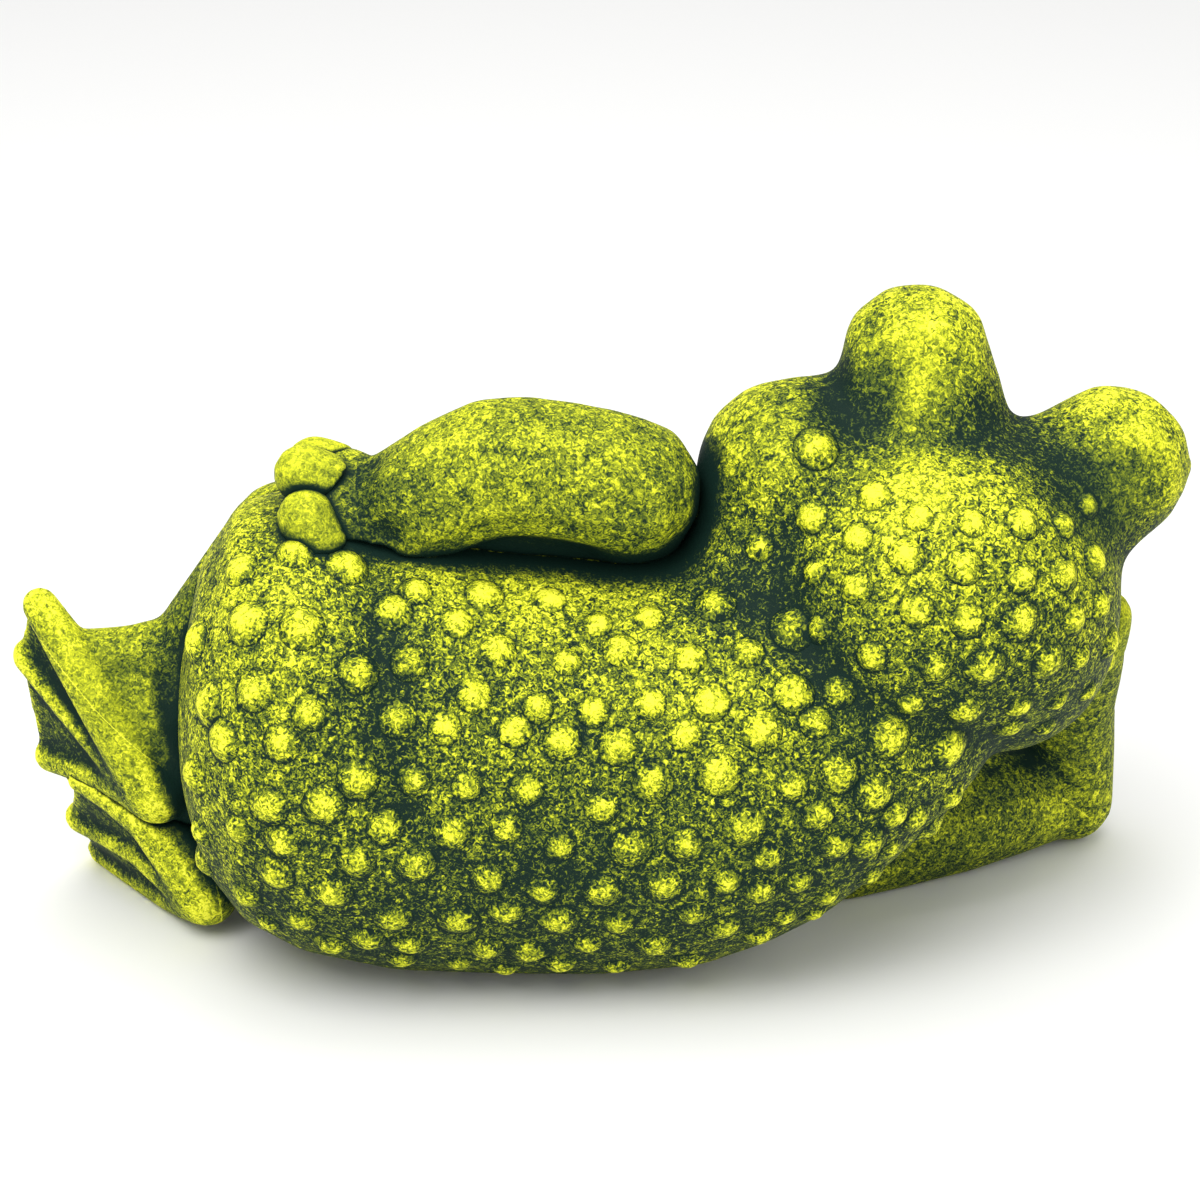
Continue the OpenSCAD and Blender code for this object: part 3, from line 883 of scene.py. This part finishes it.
@dataclass
class Limbs:
    """Arms and legs, each cast as a smooth run and parted at its joints.

    Attributes:
        voxel_mm: Grid size of a limb's skin.
        passes: Smoothing passes on a limb.
        foot_voxel_mm: Grid size where there are toes.
        foot_passes: Smoothing passes there.
        finger_voxel_mm: Grid size of a finger's skin.
        finger_passes: Smoothing passes on a finger.
        finger_swell_mm: How far a finger is pushed out to meet its neighbours.
    """

    voxel_mm: float = 1.7
    passes: int = 22
    foot_voxel_mm: float = 1.3
    foot_passes: int = 12
    finger_voxel_mm: float = 1.0
    finger_passes: int = 14
    finger_swell_mm: float = 0.5
    pieces: list[tuple[Object, str, Paint, str]] = field(default_factory=list)
    # The hollow between the curled fingers and the forearm
    WRIST_VALLEY: ClassVar[tuple[Place, ...]] = (
        (-62, -6, 141), (-63, -15, 134), (-60, -20, 127), (-55, -20, 123),
    )
    # The heel of the hand below that hollow
    HAND_RIM: ClassVar[tuple[Place, ...]] = ((-66, -20, 120), (-59, -20, 117), (-49, -17, 117))

    def _run(self, name: str, nodes: Iterable[str], voxel: float, passes: int) -> Object:
        """Casts several CAD nodes as one smooth skin."""
        return moulded(joined([copy_of(n) for n in nodes], name), voxel, passes)

    def _keep(self, obj: Object, slot: str, paint: Paint, node: str) -> None:
        """Notes a finished piece."""
        level_base(obj)
        obj.name = obj.data.name = node
        self.pieces.append((obj, slot, paint, node))

    def build(self) -> None:
        """Builds both arms, both legs and all fingers."""
        self._left_arm()
        self._right_arm()
        self._leg("left", (-75, 44, 81), (19, 4, 20), (-113.5, 14, 52), (0.55, -0.1, 0.6))
        self._leg("right", (-66, 44, 20), (17, -4, 8), (-106, 12, 14), (0.8, 0.3, 0.1))
        for side in ("left", "right"):
            for i in range(1, 5):
                finger = convex(copy_of(f"{side}_finger_{i}"))
                moulded(finger, self.finger_voxel_mm, self.finger_passes, self.finger_swell_mm)
                self._keep(finger, "fingers", FINGER, f"{side}_finger_{i}")

    def _left_arm(self) -> None:
        """Casts the arm on the flank and parts it at the wrist."""
        run = self._run("left_arm.clay", ("left_arm", "left_hand"), self.voxel_mm, self.passes)
        groove(run, self.WRIST_VALLEY, 3.0, 6.0)
        groove(run, self.HAND_RIM, -1.6, 4.5)
        wrist, along = (-59.0, -4.0, 124.5), (-0.9, 0.1, -0.2)
        self._keep(sliced(run, "arm", wrist, along, Keep.BACK), "limbs", LIMB, "left_arm")
        self._keep(sliced(run, "hand", wrist, along, Keep.FRONT), "limbs", LIMB, "left_hand")
        bpy.data.objects.remove(run)

    def _right_arm(self) -> None:
        """Casts the propping arm and parts it at the elbow and the wrist."""
        nodes = ("right_upper_arm", "right_forearm", "right_hand")
        run = self._run("prop.clay", nodes, self.voxel_mm, self.passes)
        elbow, bend = (124.0, 60.0, 15.0), (0.78, 0.45, 1.0)
        wrist, along = (129.5, 48.0, 58.0), (0.0, -0.4, 0.9)
        rest = sliced(run, "rest", elbow, bend, Keep.FRONT)
        self._keep(sliced(run, "upper", elbow, bend, Keep.BACK), "limbs", LIMB, nodes[0])
        self._keep(sliced(rest, "fore", wrist, along, Keep.BACK), "limbs", LIMB, nodes[1])
        self._keep(sliced(rest, "hand", wrist, along, Keep.FRONT), "limbs", LIMB, nodes[2])
        bpy.data.objects.remove(run)
        bpy.data.objects.remove(rest)

    def _leg(self, side: str, fold: Place, fold_normal: Place, ankle: Place, ankle_normal: Place) -> None:
        """Casts a leg and parts it at the knee's fold and the ankle.

        Args:
            side: Which leg.
            fold: A point between thigh and shin.
            fold_normal: Direction from shin to thigh.
            ankle: A point at the ankle.
            ankle_normal: Direction from the foot to the shin.
        """
        nodes = [f"{side}_{part}" for part in ("thigh", "shin", "foot")]
        run = self._run(f"{side}_leg.clay", nodes, self.foot_voxel_mm, self.foot_passes)
        upper = sliced(run, "leg", ankle, ankle_normal, Keep.FRONT)
        self._keep(sliced(run, "foot", ankle, ankle_normal, Keep.BACK), "feet", FOOT, nodes[2])
        self._keep(sliced(upper, "thigh", fold, fold_normal, Keep.FRONT), "limbs", LIMB, nodes[0])
        self._keep(sliced(upper, "shin", fold, fold_normal, Keep.BACK), "limbs", LIMB, nodes[1])
        bpy.data.objects.remove(run)
        bpy.data.objects.remove(upper)


@dataclass
class Face:
    """Eyeballs and lips.

    Attributes:
        pieces: The finished pieces, each with its slot, paint and node.
        marks: Dark spots of the pupils, in the same form as the brush's touches.
    """

    SEGMENTS: ClassVar[int] = 96
    RINGS: ClassVar[int] = 64
    LIP_VOXEL_MM: ClassVar[float] = 1.1
    LIP_PASSES: ClassVar[int] = 10
    IRIS_MM: ClassVar[float] = 7.2
    IRIS_STEPS: ClassVar[int] = 25
    RIM_MM: ClassVar[float] = 0.35
    RIM_WIDE_MM: ClassVar[float] = 0.9
    PUPIL_DEEP_MM: ClassVar[float] = 0.6
    PUPIL_MM: ClassVar[float] = 2.4
    PUPIL_STEP_MM: ClassVar[float] = 2.2
    PUPIL_DARK: ClassVar[float] = -4.0
    pieces: list[tuple[Object, str, Paint, str]] = field(default_factory=list)
    marks: list[tuple[Place, float, float]] = field(default_factory=list)

    def _press(self, ball: Object, centre: Vector, radius: float) -> None:
        """Presses a level pupil into an eyeball and raises the rim of its iris.

        Args:
            ball: The eyeball.
            centre: Its centre, in millimetres.
            radius: Its radius, in millimetres.
        """
        front = centre + Vector((0, radius, 0))
        slot = [front + Vector((step * self.PUPIL_STEP_MM, 0, 0)) for step in (-1, 0, 1)]
        groove(ball, [tuple(p) for p in slot], self.PUPIL_DEEP_MM, self.PUPIL_MM)
        self.marks += [(tuple(p), self.PUPIL_MM, self.PUPIL_DARK) for p in slot]
        tilt = math.asin(self.IRIS_MM / radius)
        wide, deep = math.sin(tilt), math.cos(tilt)
        ring = [
            centre + Vector((wide * math.cos(a), deep, wide * math.sin(a))) * radius
            for a in np.linspace(0, 2 * math.pi, self.IRIS_STEPS)
        ]
        groove(ball, [tuple(p) for p in ring], -self.RIM_MM, self.RIM_WIDE_MM)

    def build(self) -> None:
        """Builds the eyeballs and the rolled lips."""
        for side in ("left", "right"):
            low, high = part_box(f"{side}_eye")
            bpy.ops.object.select_all(action="DESELECT")
            bpy.ops.mesh.primitive_uv_sphere_add(
                segments=self.SEGMENTS,
                ring_count=self.RINGS,
                radius=(high - low).x / 2,
                location=(low + high) / 2,
            )
            ball = bpy.context.object
            bpy.ops.object.transform_apply(location=True, rotation=True, scale=True)
            ball.name = ball.data.name = f"{side}_eye"
            self._press(ball, (low + high) / 2 / MM, (high - low).x / 2 / MM)
            self.pieces.append((ball, "eyes", EYE, f"{side}_eye"))
        lips = moulded(copy_of("lips"), self.LIP_VOXEL_MM, self.LIP_PASSES)
        lips.name = lips.data.name = "lips"
        self.pieces.append((lips, "lips", LIP, "lips"))


@dataclass(frozen=True)
class Studio:
    """Floor, lights and camera.

    Attributes:
        elevation: Height of the camera above the horizon, in degrees.
        distance: From the camera to its target.
        target: What the camera looks at, in millimetres.
        lens: Focal length in millimetres on a 36 mm sensor.
    """

    elevation: float = 24.0
    distance: float = 1.0
    target: Place = (-0.5, 2.0, 98.5)
    lens: float = 117.19
    FLOOR_M: ClassVar[float] = 12.0
    FLOOR_COLOUR: ClassVar[tuple[float, ...]] = (0.93, 0.93, 0.92, 1)
    SURROUND: ClassVar[float] = 0.65
    # Each lamp's name, place in metres, power in watts and size in metres
    LAMPS: ClassVar[tuple[tuple[str, Place, float, float], ...]] = (
        ("key", (-0.35, -0.75, 1.25), 13.5, 0.9),
        ("fill", (0.9, -0.7, 0.6), 2.0, 0.9),
        ("top", (0.05, 0.15, 1.3), 6.0, 1.2),
    )

    def build(self) -> None:
        """Sets the floor, the lights and the camera."""
        self._floor()
        self._lights()
        self._camera()

    def _floor(self) -> None:
        """Lays a plain pale floor."""
        bpy.ops.object.select_all(action="DESELECT")
        bpy.ops.mesh.primitive_plane_add(size=self.FLOOR_M, location=(0, 0, -0.0002))
        floor = bpy.context.object
        bpy.ops.object.transform_apply(location=True, rotation=True, scale=True)
        floor.name = "floor"
        pale = bpy.data.materials.new("pale floor")
        pale.use_nodes = True
        shader = pale.node_tree.nodes["Principled BSDF"]
        shader.inputs["Base Color"].default_value = self.FLOOR_COLOUR
        shader.inputs["Roughness"].default_value = 0.9
        shader.inputs["Specular IOR Level"].default_value = 0.1
        floor.data.materials.append(pale)

    def _lights(self) -> None:
        """Hangs a large soft key, a fill and a pale surround."""
        for name, place, power, size in self.LAMPS:
            data = bpy.data.lights.new(name, "AREA")
            data.energy, data.size = power, size
            lamp = bpy.data.objects.new(name, data)
            bpy.context.scene.collection.objects.link(lamp)
            lamp.location = place
            aim = Vector((0, 0, 0.08)) - Vector(place)
            lamp.rotation_euler = aim.to_track_quat("-Z", "Y").to_euler()
        world = bpy.data.worlds.new("studio")
        world.use_nodes = True
        world.node_tree.nodes["Background"].inputs["Color"].default_value = (1, 1, 1, 1)
        world.node_tree.nodes["Background"].inputs["Strength"].default_value = self.SURROUND
        bpy.context.scene.world = world
        bpy.context.scene.view_settings.view_transform = "Standard"

    def _camera(self) -> None:
        """Places the camera behind the frog's back."""
        tilt = math.radians(self.elevation)
        back = Vector((0, -math.cos(tilt), math.sin(tilt)))
        data = bpy.data.cameras.new("camera")
        data.lens, data.sensor_width = self.lens, 36.0
        camera = bpy.data.objects.new("camera", data)
        bpy.context.scene.collection.objects.link(camera)
        camera.location = Vector(self.target) * MM + back * self.distance
        camera.rotation_euler = (-back).to_track_quat("-Z", "Y").to_euler()
        bpy.context.scene.camera = camera


QUICK_RAYS, FULL_RAYS, WART_DEGREES = 8, 20, 80


def main() -> None:
    """Builds the figure piece by piece, paints it and sets the studio."""
    body = Body()
    body.build()
    makers = WartMaker([body.trunk, body.head])
    warts = {node: makers.build(node) for node in ("back_warts", "head_warts")}
    limbs, face = Limbs(), Face()
    limbs.build()
    face.build()
    shop = PaintShop()
    dressed = [(body.trunk, "skin", SKIN, "trunk"), (body.head, "skin", SKIN, "head")]
    dressed += limbs.pieces + face.pieces
    figure = [one[0] for one in dressed] + list(warts.values())
    shading = Shading(figure, face.marks, rays=FULL_RAYS)
    for obj, slot, paint, node in dressed:
        shading.store(obj)
        soften(obj)
        shop.dress(obj, slot, paint, node)
    for node, obj in warts.items():
        shading.store(obj)
        soften(obj, WART_DEGREES)
        shop.dress(obj, "warts", WART, node)
    Studio().build()


if __name__ == "__main__":
    logging.basicConfig(level=logging.INFO, format="%(name)s %(message)s")
    main()
